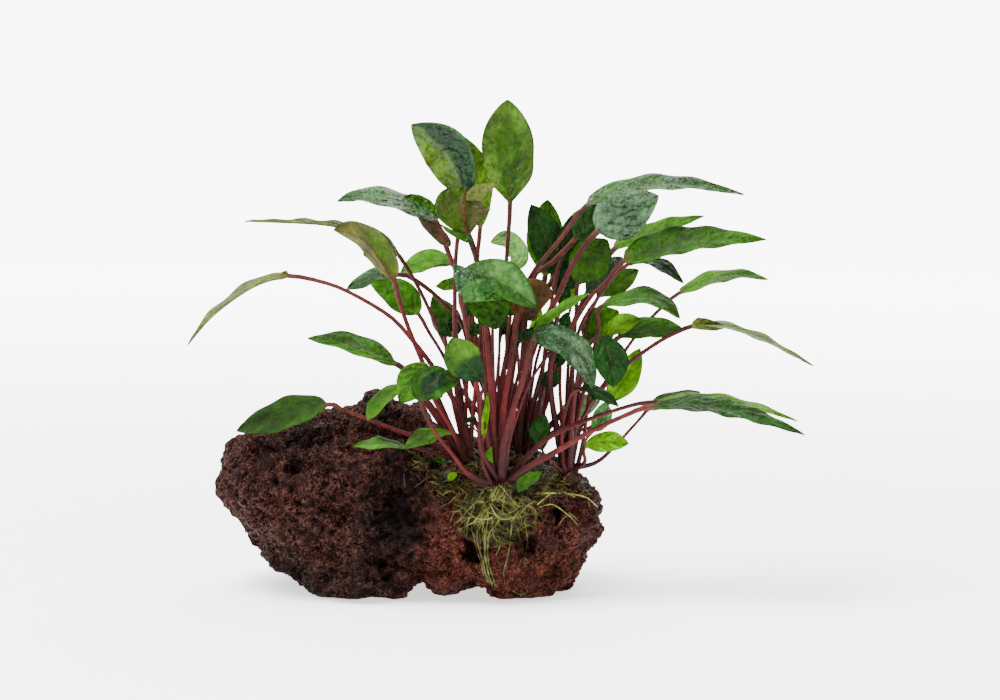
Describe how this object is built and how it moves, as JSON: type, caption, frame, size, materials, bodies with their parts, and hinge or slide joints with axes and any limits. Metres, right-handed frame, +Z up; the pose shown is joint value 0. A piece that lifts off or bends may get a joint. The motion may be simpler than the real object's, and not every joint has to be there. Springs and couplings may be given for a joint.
{
  "type": "aquarium plant on lava rock",
  "caption": "Bushy cryptocoryne with reddish stalks and lance-shaped green leaves, rooted on a porous lump of red lava rock that rests on its flat spots.",
  "frame": {"origin": "on the flat spot under the middle of the rock", "axes": "+Z up, +X along the long side towards the longest leaves, -Y towards the root mat and the front crown"},
  "size_m": [0.2444, 0.1148, 0.1967],
  "materials": {
    "rock": "matte",
    "leaf": "satin",
    "crown": "matte",
    "root": "matte"
  },
  "bodies": {
    "root": {"crown_front": "crown", "crown_left": "crown", "crown_middle": "crown", "crown_right": "crown", "lava_rock": "rock", "leaf_01": "leaf", "leaf_02": "leaf", "leaf_03": "leaf", "leaf_04": "leaf", "leaf_05": "leaf", "leaf_06": "leaf", "leaf_07": "leaf", "leaf_08": "leaf", "leaf_09": "leaf", "leaf_10": "leaf", "leaf_11": "leaf", "leaf_12": "leaf", "leaf_13": "leaf", "leaf_14": "leaf", "leaf_15": "leaf", "leaf_16": "leaf", "leaf_17": "leaf", "leaf_18": "leaf", "leaf_19": "leaf", "leaf_20": "leaf", "leaf_21": "leaf", "leaf_22": "leaf", "leaf_23": "leaf", "leaf_24": "leaf", "leaf_25": "leaf", "leaf_26": "leaf", "leaf_27": "leaf", "leaf_28": "leaf", "leaf_29": "leaf", "leaf_30": "leaf", "leaf_31": "leaf", "leaf_32": "leaf", "leaf_33": "leaf", "leaf_34": "leaf", "leaf_35": "leaf", "leaf_36": "leaf", "leaf_37": "leaf", "leaf_38": "leaf", "leaf_39": "leaf", "leaf_40": "leaf", "leaf_41": "leaf", "leaf_42": "leaf", "leaf_43": "leaf", "leaf_44": "leaf", "leaf_45": "leaf", "leaf_46": "leaf", "leaf_47": "leaf", "leaf_48": "leaf", "leaf_49": "leaf", "leaf_50": "leaf", "leaf_51": "leaf", "leaf_52": "leaf", "root_mat": "root", "root_right": "root"}
  },
  "joints": []
}
